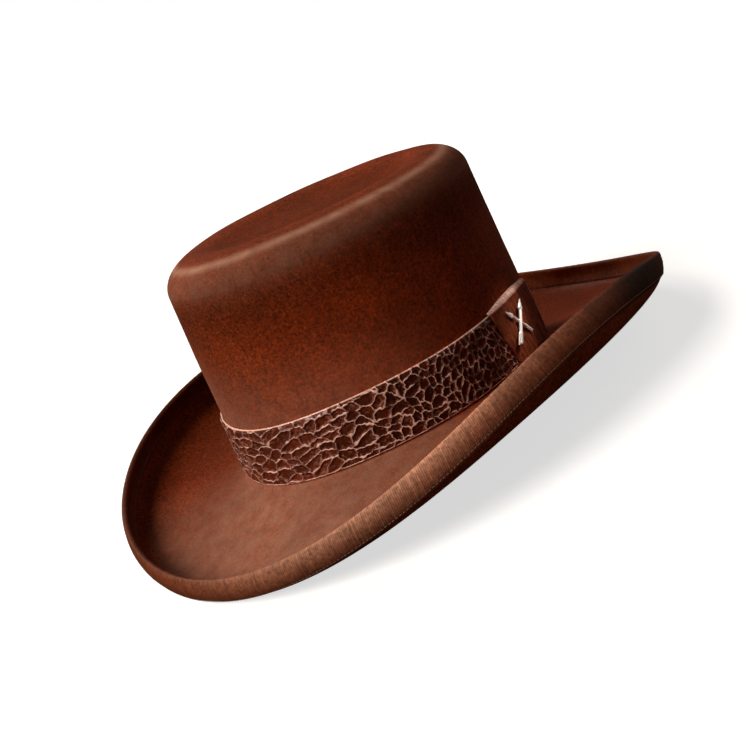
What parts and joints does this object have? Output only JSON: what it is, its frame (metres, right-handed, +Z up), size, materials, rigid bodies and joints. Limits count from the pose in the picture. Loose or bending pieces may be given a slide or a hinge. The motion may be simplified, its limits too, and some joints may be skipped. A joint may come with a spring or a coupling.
{
  "type": "felt fedora hat",
  "caption": "Wide-brimmed felt hat with a tall flat-topped crown, rolled and bound brim edge, embossed leather band, suede wrap and crossed-arrow pin.",
  "frame": {"origin": "the middle of the hat seen from above, on the surface that the brim rests on", "axes": "+Z up, -Y to the front of the hat, +X to the wearer's left"},
  "size_m": [0.3158, 0.3492, 0.1476],
  "materials": {
    "felt": "brushed brown fur felt with a short nap and a soft sheen",
    "ribbon": "ribbed brown ribbon, stitched along its border",
    "leather": "glossy dark red-brown leather embossed with rounded cells, pale in the creases and at the cut edges",
    "suede": "soft brown suede with upright folds and a rolled upper edge",
    "silver": "polished silver"
  },
  "bodies": {
    "root": {"felt_body": "felt", "edge_binding": "ribbon", "hat_band": "leather", "band_wrap": "suede", "arrow_pin": "silver"}
  },
  "joints": []
}
